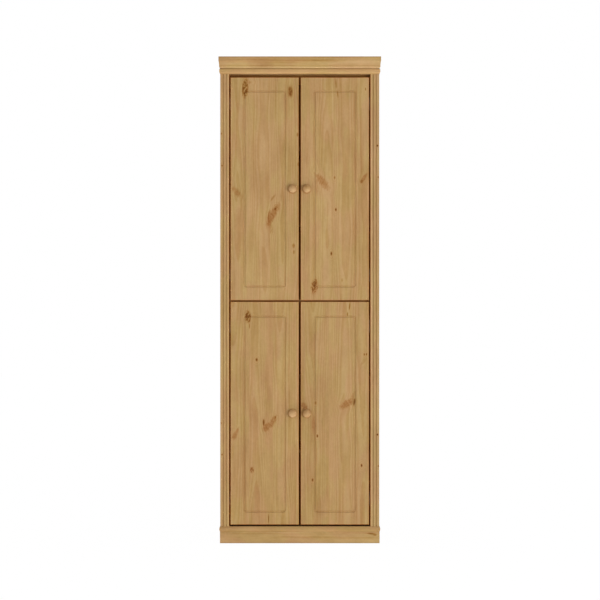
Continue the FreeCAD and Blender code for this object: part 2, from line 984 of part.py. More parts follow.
def plate_screws(level):
    """Two screws through the wings into the packing block."""
    screws = []
    middle = sum(mounting_plate_span()) / 2
    for step in (-plate_screw_spread / 2, plate_screw_spread / 2):
        point = Vector(stile_inner - mounting_plate_thickness, middle, level + step)
        screws.append(
            screw(
                point,
                X_AXIS,
                plate_screw_radius,
                plate_screw_length,
                plate_screw_head_radius,
                plate_screw_head_height,
            )
        )
    return screws


def arm_screw(level):
    """The screw that holds the arm's tail to the mounting plate."""
    middle = sum(mounting_plate_span()) / 2
    point = Vector(arm_tail_x - arm_thickness / 2, middle, level)
    return screw(
        point,
        X_AXIS,
        arm_screw_radius,
        arm_thickness + mounting_plate_thickness,
        arm_screw_head_radius,
        arm_screw_head_height,
    )


def packing_block(level):
    """Brings the mounting plate flush with the stile's inner edge."""
    block = box(
        (stile_inner, side_inner),
        (stile_back, stile_back + packing_length),
        (level - packing_height / 2, level + packing_height / 2),
    )
    return block.cut(plate_screws(level))


# Catches


def strike_plate(row):
    """Steel plate on the back of the door, held by its own peg."""
    level = catch_level(row)
    plate = box(
        (catch_centre_distance - strike_width / 2, catch_centre_distance + strike_width / 2),
        (door_back, door_back + strike_thickness),
        (level - strike_height / 2, level + strike_height / 2),
    )
    start = Vector(catch_centre_distance, door_back, level)
    return plate.fuse(rod(start, Y_AXIS * -1, strike_peg_radius, strike_peg_length))


def catch_body(row):
    """Housing of the magnet, screwed to the middle shelf right behind the strike plate."""
    level = catch_level(row)
    start = door_back + strike_thickness + catch_gap
    body = box(
        (catch_centre_distance - catch_width / 2, catch_centre_distance + catch_width / 2),
        (start, start + catch_length),
        (level - catch_height / 2, level + catch_height / 2),
    )
    body = body.makeFillet(catch_ease, [e for e in body.Edges if is_upright(e)])
    return body.cut(catch_screws_of(row))


def catch_screws_of(row):
    """Two screws a catch, through the housing into the shelf."""
    way = -1 if row == "upper" else 1
    start_level = shelf_over if row == "upper" else shelf_under
    y = door_back + strike_thickness + catch_gap + catch_length - catch_screw_inset
    screws = []
    for step in (-catch_screw_spread / 2, catch_screw_spread / 2):
        point = Vector(catch_centre_distance + step, y, start_level - way * catch_height)
        screws.append(
            screw(
                point,
                Z_AXIS * way,
                catch_screw_radius,
                catch_height + catch_screw_bite,
                catch_screw_head_radius,
                catch_screw_head_height,
            )
        )
    return screws


def catch_screw_solids():
    return both_sides([item for row in DOOR_FEET for item in catch_screws_of(row)])


def export_carcass():
    for side in SIDES:
        export(f"side_panel_{side}", [to_side(side_panel(), side)])
        export(f"front_stile_{side}", [to_side(front_stile(), side)])
    export("top_panel", [level_board(opening_top, top_top, top_path())])
    export("bottom_panel", [level_board(plinth_height, base_top, base_path())])
    export("middle_shelf", [middle_shelf()])
    export("stop_rail", [stop_rail()])
    export("back_panel_lower", [back_panel(base_top, middle_level)])
    export("back_panel_upper", [back_panel(middle_level, opening_top)])
    export("corner_blocks", corner_blocks())
    export("carcass_dowels", dowel_solids())
    export("carcass_screws", carcass_screw_solids())
    export("back_panel_screws", back_screw_solids())


def export_frames():
    export("plinth_back", [plinth_back()])
    for name, path in (("plinth", plinth_path()), ("cornice", cornice_path())):
        export(f"{name}_front", [front_run(path)])
        for side in SIDES:
            export(f"{name}_{side}", [to_side(side_run(path), side)])


def export_shelves():
    for space, levels in all_shelf_levels().items():
        for name, level in zip(("bottom", "top"), levels):
            export(f"shelf_{space}_{name}", [adjustable_shelf(level)])
    export("shelf_pins", shelf_pins())


def export_hinge_sides():
    """What the hinges have on the cupboard, in one group of each kind."""
    levels = [level for row in DOOR_FEET for level in hinge_levels(row)]
    export("hinge_packing_blocks", both_sides([packing_block(level) for level in levels]))
    export("hinge_mounting_plates", both_sides([mounting_plate(level) for level in levels]))
    export("hinge_arms", both_sides([hinge_arm(level) for level in levels]))
    screws = [item for level in levels for item in plate_screws(level) + [arm_screw(level)]]
    export("hinge_side_screws", both_sides(screws))


def export_catches():
    export("magnetic_catches", both_sides([catch_body(row) for row in DOOR_FEET]))
    export("catch_screws", catch_screw_solids())


def export_door(row, side):
    name = f"{row}_{side}"
    levels = hinge_levels(row)
    pieces = {
        "door_panel": [door_panel(row)],
        "knob": [knob(row)],
        "knob_screw": [knob_screw(row)],
        "hinge_cups": [hinge_cup(level) for level in levels],
        "hinge_pins": [hinge_pin(level) for level in levels],
        "cup_screws": cup_screws(row),
        "strike_plate": [strike_plate(row)],
    }
    for piece, shapes in pieces.items():
        export(f"{piece}_{name}", [to_side(shape, side) for shape in shapes])


os.makedirs("parts", exist_ok=True)
export_carcass()
export_frames()
export_shelves()
export_hinge_sides()
export_catches()
for door_row in DOOR_FEET:
    for door_side in SIDES:
        export_door(door_row, door_side)
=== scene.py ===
"""The finish of a four-door pine cupboard, piece by piece in the order in which it goes together.

Lengths are in metres, in the frame of the cupboard: x from left to right, y from the doors to
the back, z up from the floor. Only the marks in the wood are placed in millimetres.
"""

import math

import bpy
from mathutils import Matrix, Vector


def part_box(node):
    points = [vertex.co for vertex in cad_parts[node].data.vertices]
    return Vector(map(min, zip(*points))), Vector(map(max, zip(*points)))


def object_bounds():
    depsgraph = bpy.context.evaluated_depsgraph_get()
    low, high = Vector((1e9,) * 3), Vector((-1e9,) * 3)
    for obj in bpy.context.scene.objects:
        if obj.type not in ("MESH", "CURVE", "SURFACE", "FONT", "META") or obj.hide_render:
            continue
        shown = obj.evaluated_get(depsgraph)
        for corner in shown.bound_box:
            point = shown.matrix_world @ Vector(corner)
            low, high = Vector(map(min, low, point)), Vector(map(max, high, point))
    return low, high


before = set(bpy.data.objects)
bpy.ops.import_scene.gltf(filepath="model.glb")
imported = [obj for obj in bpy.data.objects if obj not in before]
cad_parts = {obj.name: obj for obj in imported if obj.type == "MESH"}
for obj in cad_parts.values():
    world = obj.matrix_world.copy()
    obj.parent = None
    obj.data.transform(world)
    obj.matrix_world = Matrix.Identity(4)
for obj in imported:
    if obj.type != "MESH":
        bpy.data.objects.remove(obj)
cad_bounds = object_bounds()
bpy.ops.object.select_all(action="DESELECT")

# Plinth: four planed pine boards under the base panel, mitred at the front corners and glued,
# with the grain along each board. It is the first piece, so the wood of the whole cupboard is
# made here: knotty Scots pine under a clear satin lacquer.

# The colour sockets of a Mix node: its share, its two colours and its result.
MIX_SHARE, MIX_ONE, MIX_OTHER, MIX_RESULT = 0, 6, 7, 2


def paint(red, green, blue):
    """A colour as it is written for a screen, turned into the linear values of a shader."""
    shares = (red / 255, green / 255, blue / 255)
    linear = [s / 12.92 if s < 0.04045 else ((s + 0.055) / 1.055) ** 2.4 for s in shares]
    return (*linear, 1.0)


class Shade:
    """One output of a shader node. Sums, products and powers of these add Math nodes."""

    def __init__(self, tree, socket=None):
        self.tree = tree
        self.socket = socket

    def add(self, kind, settings=None, values=None, output=0):
        """Adds a node: its settings come first, then what goes into its sockets."""
        node = self.tree.nodes.new("ShaderNode" + kind)
        for name, setting in (settings or {}).items():
            setattr(node, name, setting)
        for name, value in (values or {}).items():
            if isinstance(value, Shade):
                self.tree.links.new(value.socket, node.inputs[name])
            else:
                node.inputs[name].default_value = value
        return Shade(self.tree, node.outputs[output])

    def math(self, operation, *others):
        return self.add("Math", {"operation": operation}, dict(enumerate((self, *others))))

    def __add__(self, other):
        return self.math("ADD", other)

    def __sub__(self, other):
        return self.math("SUBTRACT", other)

    def __rsub__(self, other):
        return self.math("MULTIPLY_ADD", -1.0, other)

    def __mul__(self, other):
        return self.math("MULTIPLY", other)

    def __truediv__(self, other):
        return self.math("DIVIDE", other)

    def __pow__(self, other):
        return self.math("POWER", other)

    __radd__ = __add__
    __rmul__ = __mul__

    def rise(self, low, high):
        """0 up to low and 1 from high on, with a soft slope between; low may be the larger."""
        settings = {"interpolation_type": "SMOOTHSTEP"}
        values = {"Value": self, "From Min": low, "From Max": high, "To Min": 0.0, "To Max": 1.0}
        return self.add("MapRange", settings, values)

    def mix(self, one, other):
        """A colour between one and other, with this as the share of other."""
        values = {MIX_SHARE: self, MIX_ONE: one, MIX_OTHER: other}
        return self.add("Mix", {"data_type": "RGBA"}, values, MIX_RESULT)

    def times(self, tint, share):
        """This colour multiplied by a tint, as far as share says."""
        settings = {"data_type": "RGBA", "blend_type": "MULTIPLY"}
        values = {MIX_SHARE: share, MIX_ONE: self, MIX_OTHER: tint}
        return self.add("Mix", settings, values, MIX_RESULT)

    def deepened(self, amount):
        """This colour darker and warmer, as pine is where it is dense or its lacquer thick."""
        return self.add("Gamma", None, {"Color": self, "Gamma": amount + 1.0})

    def scaled(self, amount):
        """This colour or vector, every channel times amount."""
        return self.add("VectorMath", {"operation": "SCALE"}, {0: self, "Scale": amount})

    def vector_math(self, operation, other):
        return self.add("VectorMath", {"operation": operation}, {0: self, 1: other})

    def length(self):
        return self.add("VectorMath", {"operation": "LENGTH"}, {0: self}, "Value")

    def vector(self, x, y, z):
        return self.add("CombineXYZ", None, {"X": x, "Y": y, "Z": z})

    def part(self, axis):
        return self.add("SeparateXYZ", None, {0: self}, axis)

    def split(self):
        return [self.part(axis) for axis in "XYZ"]

    def stretched(self, scale, shift=(0, 0, 0)):
        """This place with each direction scaled, so that a noise on it is drawn out."""
        return self.add("Mapping", None, {"Vector": self, "Scale": scale, "Location": shift})

    def noise(self, detail, roughness, scale=1.0):
        values = {"Vector": self, "Scale": scale, "Detail": detail, "Roughness": roughness}
        return self.add("TexNoise", None, values)

    def pattern(self, waves, detail, roughness, shift=(0, 0, 0)):
        """Noise with this many waves to a metre in each direction."""
        return self.stretched(waves, shift).noise(detail, roughness)


def new_material(name):
    """A material's name, the start of its maths, and its Principled shader."""
    material = bpy.data.materials.new(name)
    material.use_nodes = True
    tree = material.node_tree
    return material, Shade(tree), tree.nodes["Principled BSDF"]


def plug(shader, **values):
    """Sets or links sockets of a shader; underscores in the names stand for spaces."""
    for name, value in values.items():
        socket = shader.inputs[name.replace("_", " ")]
        if isinstance(value, Shade):
            value.tree.links.new(value.socket, socket)
        else:
            socket.default_value = value


def dress(material, *nodes):
    """Gives CAD pieces this material in every slot that they have."""
    for name in nodes:
        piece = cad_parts[name]
        if not piece.data.materials:
            piece.data.materials.append(material)
        for slot in piece.material_slots:
            slot.link = "OBJECT"
            slot.material = material


MILLIMETRE = 0.001

# What each kind of mark shows: a dark core, a reddish haze and how far out it goes, a pale halo,
# a ragged edge, how far the grain swerves round it, and how much of it is broken up in specks.
MARKS = {
    "dot": {"core": 1.0, "haze": 0.4, "out": 2.2, "halo": 0.5, "ragged": 0.3, "swerve": 0.5},
    "knot": {"core": 0.7, "haze": 0.8, "out": 1.8, "ragged": 0.6, "swerve": 0.7, "specks": 0.4},
    "cluster": {"core": 0.9, "haze": 0.8, "out": 1.5, "ragged": 0.9, "swerve": 0.5, "specks": 0.9},
    "flame": {"haze": 0.9, "out": 1.5, "ragged": 1.5, "swerve": 0.6, "specks": 0.5},
    # Painted shade round a knob, not a mark in the wood.
    "painted_knob_shade": {"haze": 1.0, "out": 1.35, "ragged": 0.2, "swerve": 0.0},
    "line": {"core": 0.7, "haze": 0.4, "out": 1.8, "ragged": 0.5, "swerve": 0.3},
}
# Noise in a mark's edge and inside it: waves to a metre across the fibres, through the board
# and along the fibres, then the detail and the roughness of the noise.
MARK_EDGE = ((190, 190, 90), 3.0, 0.65)
MARK_SPECKS = ((130, 130, 95), 3.0, 0.65)
SPECKS_SHIFT = (7, 0, 3)
SPECKS_RISE = (0.42, 0.56)
# Where each thing starts and where it is at its full, in half sizes of the mark.
SWERVE_REACH = (3.4, 0.3)
CORE_REACH = (1.25, 0.5)
HAZE_FULL_REACH = 0.6
HALO_REACH = (6.0, 1.0)
CIRCLES_REACH = (6.0, 3.0)
# What the specks leave of a haze, and the faint circles of bent grain round a dot: how many to
# each half size, how far they wobble, and which part of each is dark.
HAZE_UNBROKEN = 0.3
CIRCLE_COUNT = 0.6
CIRCLE_WOBBLE = 0.6
CIRCLE_RISE = (0.55, 0.95)
# Scattered knots: the cell that may hold one, how freely it lies there, its least half width
# and what chance adds to it, its height for its width, and its strength.
SCATTER_WIDTH = 0.09
SCATTER_HEIGHT = 0.3
SCATTER_FREEDOM = 0.8
SCATTER_SEED_STEP = 3.7
SCATTER_LEAST_HALF = 0.003
SCATTER_ADDED_HALF = 0.006
SCATTER_HEIGHT_SHARE = 0.7
SCATTER_STRENGTH = 0.8
OUT_OF_REACH = 9.0


class Figure:
    """The marks in one board: their masks, and how far the grain is bent round them."""

    def __init__(self, place):
        self.place = place
        self.warp = place.pattern(*MARK_EDGE) - 0.5
        self.specks = place.pattern(*MARK_SPECKS, SPECKS_SHIFT).rise(*SPECKS_RISE)
        self.bend = 0.0
        self.core = 0.0
        self.haze = 0.0
        self.halo = 0.0
        self.circles = 0.0

    def add(self, kind, offset, half_width, reach, strength):
        """Adds one mark; reach is how far a place is from it, counted in its own half sizes."""
        looks = MARKS[kind]
        edge = reach + self.warp * looks["ragged"]
        near = reach.rise(*SWERVE_REACH) * offset
        self.bend = near * (half_width * looks["swerve"]) + self.bend
        broken = looks.get("specks", 0.0)
        solid = self.specks * broken + (1.0 - broken)
        if "core" in looks:
            core = edge.rise(*CORE_REACH) * solid * (strength * looks["core"])
            self.core = core.math("MAXIMUM", self.core)
        veil = solid * (1.0 - HAZE_UNBROKEN) + HAZE_UNBROKEN
        haze = edge.rise(looks["out"], HAZE_FULL_REACH) * veil * (strength * looks["haze"])
        self.haze = haze.math("MAXIMUM", self.haze)
        if "halo" in looks:
            halo = reach.rise(*HALO_REACH) * looks["halo"]
            self.halo = halo.math("MAXIMUM", self.halo)
            turn = (reach * CIRCLE_COUNT + self.warp * CIRCLE_WOBBLE).math("FRACT")
            circles = turn.rise(*CIRCLE_RISE) * reach.rise(*CIRCLES_REACH)
            self.circles = circles.math("MAXIMUM", self.circles)

    def add_placed(self, kind, across, along, half_width, half_height, lean, strength):
        """A mark at a known place of the board, in millimetres; lean is in degrees."""
        values = {
            "Vector": self.place,
            "Location": (across * MILLIMETRE, 0.0, along * MILLIMETRE),
            "Rotation": (0.0, math.radians(lean), 0.0),
            "Scale": (half_width * MILLIMETRE, 1.0, half_height * MILLIMETRE),
        }
        spot = self.place.add("Mapping", {"vector_type": "TEXTURE"}, values)
        self.add(kind, spot.part("X"), half_width * MILLIMETRE, spot.length(), strength)

    def add_scattered(self, share, seed):
        """Knots strewn over the board, one in about this share of the cells."""
        waves = (1 / SCATTER_WIDTH, 0.0, 1 / SCATTER_HEIGHT)
        flat = self.place.stretched(waves, (seed, 0.0, seed * SCATTER_SEED_STEP))
        values = {"Vector": flat, "Scale": 1.0, "Randomness": SCATTER_FREEDOM}
        spot = self.place.add("TexVoronoi", None, values, "Position")
        lots = self.place.add("TexVoronoi", None, values, "Color").split()
        offset = flat.vector_math("SUBTRACT", spot)
        offset = offset.stretched((SCATTER_WIDTH, 0.0, SCATTER_HEIGHT * SCATTER_HEIGHT_SHARE))
        half = lots[0] * SCATTER_ADDED_HALF + SCATTER_LEAST_HALF
        there = lots[1].rise(1.0 - share, 1.01 - share)
        sideways = offset.part("X") / half * there
        reach = offset.length() / half + (1 - there) * OUT_OF_REACH
        self.add("knot", sideways, SCATTER_ADDED_HALF, reach, SCATTER_STRENGTH)


# The staves: how far chance moves the figure of each, across, through and along the board.
STAVE_SHIFT = (3.0, 3.0, 5.0)
# A soft band along an end of the board is at its full over this share, and fades over the rest.
BAND_FULL_SHARE = 0.6


class Board:
    """One board: places measured from its own origin, its staves and the marks in them."""

    def __init__(self, shade, along, across, origin, stave, seed):
        self.shade = shade
        self.origin = Vector(origin)
        place = shade.add("TexCoord", output="Object")
        place = place.stretched((1, 1, 1), [-value for value in origin])
        self.parts = dict(zip("xyz", place.split()))
        through = ({"x", "y", "z"} - {along, across}).pop()
        self.side, self.depth, self.run = (self.parts[axis] for axis in (across, through, along))
        self.figure = Figure(shade.vector(self.side, self.depth, self.run))

        index = (self.side / stave + seed).math("FLOOR")
        self.stave_middle = (index + (0.5 - seed)) * stave
        dice = shade.add("TexWhiteNoise", {"noise_dimensions": "1D"}, {"W": index + seed}, "Color")
        self.lots = dice.split()

    def grain(self):
        """A place in the wood, where every stave is a piece of its own and bends round marks."""
        swept = self.shade.vector(self.side - self.figure.bend, self.depth, self.run)
        shift = self.shade.vector(*(lot * far for lot, far in zip(self.lots, STAVE_SHIFT)))
        return swept.vector_math("ADD", shift)

    def along_ends(self, bounds, width, shares):
        """The share given for each end of the board, within this width of that end."""
        low, high = (corner - self.origin for corner in bounds)
        total = 0.0
        for axis, (at_low, at_high) in shares.items():
            part, first, last = self.parts[axis], getattr(low, axis), getattr(high, axis)
            by_low = part.rise(first + width, first + width * BAND_FULL_SHARE)
            by_high = part.rise(last - width, last - width * BAND_FULL_SHARE)
            total = by_low * at_low + by_high * at_high + total
        return total


# Growth rings: their spacing, how far the pith lies beside the middle of a stave and below it,
# how the rings wander and lean, and how the dark late wood rises and breaks off in each year.
RING_SPACING = 0.0032
PITH_DRIFT = 0.05
PITH_SINK = 0.6
RING_WANDER = 0.02
RING_LEAN = 0.02
LATE_WOOD_RISE = (0.2, 0.9)
LATE_WOOD_END = (1.0, 0.93)
WANDER = ((7, 7, 1.6), 3.0, 0.5)


def growth_rings(board, grain, pith):
    """The dark lines where the board cuts the rings round its pith."""
    wander = grain.pattern(*WANDER) - 0.5
    drift = (board.lots[0] - 0.5) * PITH_DRIFT
    from_pith = board.side - board.figure.bend - board.stave_middle - drift
    below = board.depth + pith + board.lots[1] * pith * PITH_SINK
    radius = (from_pith * from_pith + below * below) ** 0.5
    lean = board.run * (board.lots[2] - 0.5) * RING_LEAN
    phase = ((radius + wander * RING_WANDER + lean) / RING_SPACING).math("FRACT")
    return phase.rise(*LATE_WOOD_RISE) * phase.rise(*LATE_WOOD_END)


PINE_YELLOW = paint(190, 158, 103)
PINE_PINK = paint(192, 153, 106)
HALO_PALE = paint(198, 162, 112)
# The other patterns of the grain, given as for a mark's edge.
STREAKS = ((60, 60, 2.2), 3.0, 0.6)
STREAKS_RISE = (0.44, 0.78)
FIBRES = ((620, 620, 16), 2.0, 0.5)
CLOUDS = ((22, 22, 7), 3.0, 0.6)
TINT = ((20, 20, 7), 2.0, 0.55)
TINT_RISE = (0.38, 0.62)
MOTTLE = ((150, 150, 100), 2.0, 0.6)
# How pink the tint and the stave make the wood.
TINT_PINK = 0.75
STAVE_PINK = 0.25
# How dense the rings, streaks and mottle are.
RING_DENSE = 0.2
STREAK_DENSE = 0.25
MOTTLE_DENSE = 0.12
# How light the wood is without its figure, and what each part of the figure adds. Contrast
# takes off what the clouds add on average, so it leaves the mean as it is.
PLAIN_LIGHT = 0.81
CLOUD_LIGHT = 0.48
MOTTLE_LIGHT = 0.27
FIBRE_LIGHT = 0.12
STAVE_LIGHT = 0.07
# How deep in a flute or groove the painted shade starts, and where it is at its darkest.
HOLLOW_RISE = (0.0003, 0.0025)
# Painted shade on faces that look up and painted light on faces that look down, as if lit from
# below. A face that leans back this far is as dark as one that lies flat.
FACING_LIGHT_LIMIT = 0.5
# Painted highlights and painted shade along the arrises, this wide. The narrow sides of a door get
# the painted shade of the gaps, darker and warmer: how far that reaches round the corner and into
# the thickness of the board, and its tint.
RIM_WIDTH = 0.0045
EDGE_WIDTH = 0.0022
GAP_SHADE_RISE = (0.007, 0.0021)
GAP_SHADE_TINT = paint(255, 219, 170)
# How far each thing deepens the colour of the wood.
GAP_SHADE_DEEP = 0.6
DENSE_DEEP = 0.66
SHADED_DEEP = 0.5
CORE_DEEP = 1.2
HAZE_DEEP = 0.6
CIRCLE_DEEP = 0.15
# The relief that the fibres, the rings and the sunk cores of knots leave under the lacquer.
FIBRE_RELIEF = 0.5
RING_RELIEF = 0.4
CORE_RELIEF = 0.6
RELIEF_HEIGHT = 0.0003
RELIEF_STRENGTH = 0.3
# The lacquer: how rough bare wood is, what a full coat takes off and what a streak adds.
BARE_ROUGHNESS = 0.66
LACQUER_SMOOTHING = 0.24
STREAK_ROUGHNESS = 0.12
PINE_SPECULAR = 0.15
LACQUER_COAT = 0.04
LACQUER_ROUGHNESS = 0.35


def pine(
    name,
    along,
    across,
    *,
    seed,
    stave=0.094,
    origin=(0, 0, 0),
    pith=0.06,
    marks=(),
    knots=0.0,
    tone=1.0,
    deep=0.0,
    pink=0.0,
    contrast=1.0,
    painted_hollow_shade=0.0,
    painted_facing_light=0.0,
    bounds=None,
    painted_rim_shading=None,
    edges=None,
    painted_gap_shade=0.0,
    lacquer=1.0,
):
    """Pine with its fibres along one axis and its staves side by side across another.

    seed picks the wood, stave is the width of its staves, and pith is how far under the face
    its heart lay. marks are placed from the origin; knots is the share of scattered ones.
    tone lightens the wood, deep makes it darker and warmer, pink redder, and contrast makes its
    figure stronger. painted_hollow_shade paints shade into flutes and grooves.
    painted_facing_light paints shade on what looks up and light on what looks down, as if lit
    from below. Between the bounds of the board, painted_rim_shading paints highlights and shade
    along its arrises, and edges paints the shade of the gaps on its narrow sides, darker and
    warmer, as painted_gap_shade does on all of it. lacquer is 0 for bare wood.
    """
    material, shade, shader = new_material(name)
    board = Board(shade, along, across, origin, stave, seed)
    figure, lots = board.figure, board.lots
    for mark in marks:
        figure.add_placed(*mark)
    if knots:
        figure.add_scattered(knots, seed)
    grain = board.grain()
    rings = growth_rings(board, grain, pith)
    streaks = grain.pattern(*STREAKS)
    fibres = grain.pattern(*FIBRES)
    mottle = grain.pattern(*MOTTLE)

    flame = figure.haze - figure.core
    tint = grain.pattern(*TINT).rise(*TINT_RISE)
    redness = tint * TINT_PINK + lots[2] * STAVE_PINK + flame + pink
    colour = redness.mix(PINE_YELLOW, PINE_PINK)

    light = grain.pattern(*CLOUDS) * (CLOUD_LIGHT * contrast) + mottle * MOTTLE_LIGHT
    light = light + fibres * FIBRE_LIGHT + lots[0] * STAVE_LIGHT
    light = light + (PLAIN_LIGHT - CLOUD_LIGHT / 2 * contrast)
    # Painted shade in flutes and grooves, the deeper the darker.
    if painted_hollow_shade:
        light = light * (board.depth.rise(*HOLLOW_RISE) * -painted_hollow_shade + 1.0)
    # Painted shade on faces that look up and painted light on faces that look down, as if lit from
    # below.
    if painted_facing_light:
        facing = shade.add("NewGeometry", output="Normal").part("Z")
        light = light * (facing.math("MINIMUM", FACING_LIGHT_LIMIT) * -painted_facing_light + 1.0)
    # Painted highlights and painted shade along the arrises.
    if painted_rim_shading:
        light = light * (board.along_ends(bounds, RIM_WIDTH, painted_rim_shading) + 1.0)
    colour = colour.scaled(light ** 0.5 * tone)
    if figure.halo:
        colour = figure.halo.mix(colour, HALO_PALE)

    dense = rings * (RING_DENSE * contrast)
    dense = dense + streaks.rise(*STREAKS_RISE) * (STREAK_DENSE * contrast)
    dense = dense + mottle * MOTTLE_DENSE
    marked = figure.core * CORE_DEEP + figure.haze * HAZE_DEEP + figure.circles * CIRCLE_DEEP
    depth_of_colour = dense * DENSE_DEEP + (1 - light) * SHADED_DEEP + marked + deep
    # Painted shade of the gaps between the parts: the narrow sides, or all of the board, darker
    # and warmer.
    if edges:
        painted_gap_shade = board.along_ends(bounds, EDGE_WIDTH, edges).math("MINIMUM", 1.0)
        painted_gap_shade = painted_gap_shade * board.depth.rise(*GAP_SHADE_RISE)
    if painted_gap_shade:
        colour = colour.times(GAP_SHADE_TINT, painted_gap_shade)
        depth_of_colour = painted_gap_shade * GAP_SHADE_DEEP + depth_of_colour
    colour = colour.deepened(depth_of_colour)

    height = fibres * FIBRE_RELIEF + rings * RING_RELIEF - CORE_RELIEF * figure.core
    relief = {"Strength": RELIEF_STRENGTH, "Distance": RELIEF_HEIGHT, "Height": height}
    plug(
        shader,
        Base_Color=colour,
        Roughness=streaks * STREAK_ROUGHNESS + (BARE_ROUGHNESS - LACQUER_SMOOTHING * lacquer),
        Normal=shade.add("Bump", None, relief),
        Specular_IOR_Level=PINE_SPECULAR,
        Coat_Weight=LACQUER_COAT * lacquer,
        Coat_Roughness=LACQUER_ROUGHNESS,
    )
    return material


# One wide stave, and the marks as kind, across, along, half width, half height, lean, strength.
WIDE_STAVE = 0.4
PLINTH_MARKS = [("line", 38, 287, 3, 18, -5, 0.7), ("knot", 33, 300, 3, 7, 0, 0.5)]
plinth_front_pine = pine(
    "plinth_front_pine",
    "x",
    "z",
    seed=3.0,
    stave=WIDE_STAVE,
    marks=PLINTH_MARKS,
    tone=0.965,
    deep=-0.05,
    contrast=1.6,
    bounds=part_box("plinth_front"),
    painted_rim_shading={"z": (-0.12, 0.0)},
)
dress(plinth_front_pine, "plinth_front")
plinth_side_pine = pine("plinth_side_pine", "y", "z", seed=4.0, stave=WIDE_STAVE, tone=0.95)
dress(plinth_side_pine, "plinth_left", "plinth_right")
plinth_back_pine = pine("plinth_back_pine", "x", "z", seed=6.0, stave=WIDE_STAVE, lacquer=0.0)
dress(plinth_back_pine, "plinth_back")

# Base panel: one board glued up from staves, with a rounded nosing that shows below the doors.
# Long screws and dowels come up through it into the side panels.

# Painted shade on its upper face and painted light under its nosing, as if lit from below.
base_pine = pine(
    "base_pine", "x", "y", seed=7.0, origin=(0, 0, 0.06), knots=0.2, tone=0.97, painted_facing_light=0.15
)
dress(base_pine, "bottom_panel")

# Side panels: glued pine boards with the grain upright, rebated for the back and bored for the
# shelf pins. They carry everything else.

for side_name, side_seed in (("left", 8.0), ("right", 9.0)):
    side_panel = f"side_panel_{side_name}"
    side_face = (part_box(side_panel)[0].x, 0, 0)
    side_pine = pine(
        f"side_pine_{side_name}", "z", "y", seed=side_seed, origin=side_face, knots=0.35
    )
    dress(side_pine, side_panel)

# Front stiles: two narrow boards with two flutes each, glued and dowelled to the front edges of
# the side panels. Each is a single stave with a few pin knots. The flutes have painted shade in
# them, the arris beside the doors a painted highlight and its side the painted shade of the
# gap, and the outer arris painted shade.

NARROW_STAVE = 0.2
STILES = {
    "left": {
        "seed": 10.0,
        "tone": 1.06,
        "painted_rim_shading": {"x": (-0.12, 0.14)},
        "edges": {"x": (0.0, 1.0)},
        "marks": [
            ("dot", 4, 1571, 2.4, 3.4, 0, 0.8),
            ("dot", 7, 1443, 2.2, 3.0, 0, 0.9),
            ("dot", 4, 414, 2.4, 3.2, 0, 0.8),
            ("dot", 7, 287, 2.2, 3.0, 0, 1.0),
        ],
    },
    "right": {
        "seed": 11.0,
        "tone": 0.975,
        "painted_rim_shading": {"x": (0.14, -0.12)},
        "edges": {"x": (1.0, 0.0)},
        "marks": [
            ("dot", 29, 1523, 2.7, 3.4, 0, 1.9),
            ("dot", 32, 1397, 2.2, 3.0, 0, 1.0),
            ("dot", 29, 367, 2.7, 3.4, 0, 1.9),
            ("dot", 32, 241, 2.2, 3.0, 0, 1.0),
        ],
    },
}
for side_name, wood in STILES.items():
    stile = f"front_stile_{side_name}"
    stile_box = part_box(stile)
    stile_pine = pine(
        f"stile_pine_{side_name}",
        "z",
        "x",
        stave=NARROW_STAVE,
        origin=stile_box[0],
        deep=-0.1,
        contrast=0.8,
        painted_hollow_shade=0.24,
        bounds=stile_box,
        **wood,
    )
    dress(stile_pine, stile)

# Fixed middle shelf, dowelled between the side panels. It stops short of the doors, so that
# their hinge edges can swing past it.

middle_shelf_pine = pine(
    "middle_shelf_pine",
    "x",
    "y",
    seed=12.0,
    knots=0.2,
    bounds=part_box("middle_shelf"),
    painted_rim_shading={"y": (-0.25, 0.0)},
)
dress(middle_shelf_pine, "middle_shelf")

# Top panel: glued up like the base panel, with a bevel under its outer edges. The cornice
# stands on it.

top_pine = pine(
    "top_pine",
    "x",
    "y",
    seed=13.0,
    knots=0.25,
    tone=1.12,
    # Painted shade on what looks up, painted light on what looks down.
    painted_facing_light=0.25,
    bounds=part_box("top_panel"),
    painted_rim_shading={"z": (-0.14, 0.0)},
)
dress(top_pine, "top_panel")

# Stop rail: a lath under the top panel, dowelled between the sides, that the upper doors would
# meet if they were pushed in. It shows as a brown strip behind the gap above them.

# It is darker and warmer all over: painted shade of the gap above the upper doors.
rail_pine = pine(
    "stop_rail_pine", "x", "z", seed=18.0, stave=NARROW_STAVE, tone=0.95, deep=0.33, painted_gap_shade=0.25
)
dress(rail_pine, "stop_rail")

# Cornice: three moulded boards, mitred at the front corners and glued to the top panel. The
# glue blocks in the corners of the cornice and of the plinth are bare sawn pine, and so are the
# packing blocks of the hinges.

# Long faint dark lines along the moulding at two heights: painted shade bands, not marks in the
# wood.
CORNICE_SHADE_LINES = [
    ("line", 1909, -20, 5, 420, 0, 0.12),
    ("line", 1934, -180, 2.5, 90, 0, 0.18),
    ("line", 1932, 110, 2.5, 130, 0, 0.12),
]
cornice_pine = pine(
    "cornice_front_pine",
    "x",
    "z",
    seed=14.0,
    stave=WIDE_STAVE,
    marks=CORNICE_SHADE_LINES,
    tone=1.03,
    deep=-0.04,
    contrast=1.4,
    # Painted shade on what looks up, painted light on what looks down.
    painted_facing_light=0.6,
    bounds=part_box("cornice_front"),
    painted_rim_shading={"z": (0.0, -0.27), "x": (-0.12, -0.12)},
)
dress(cornice_pine, "cornice_front")
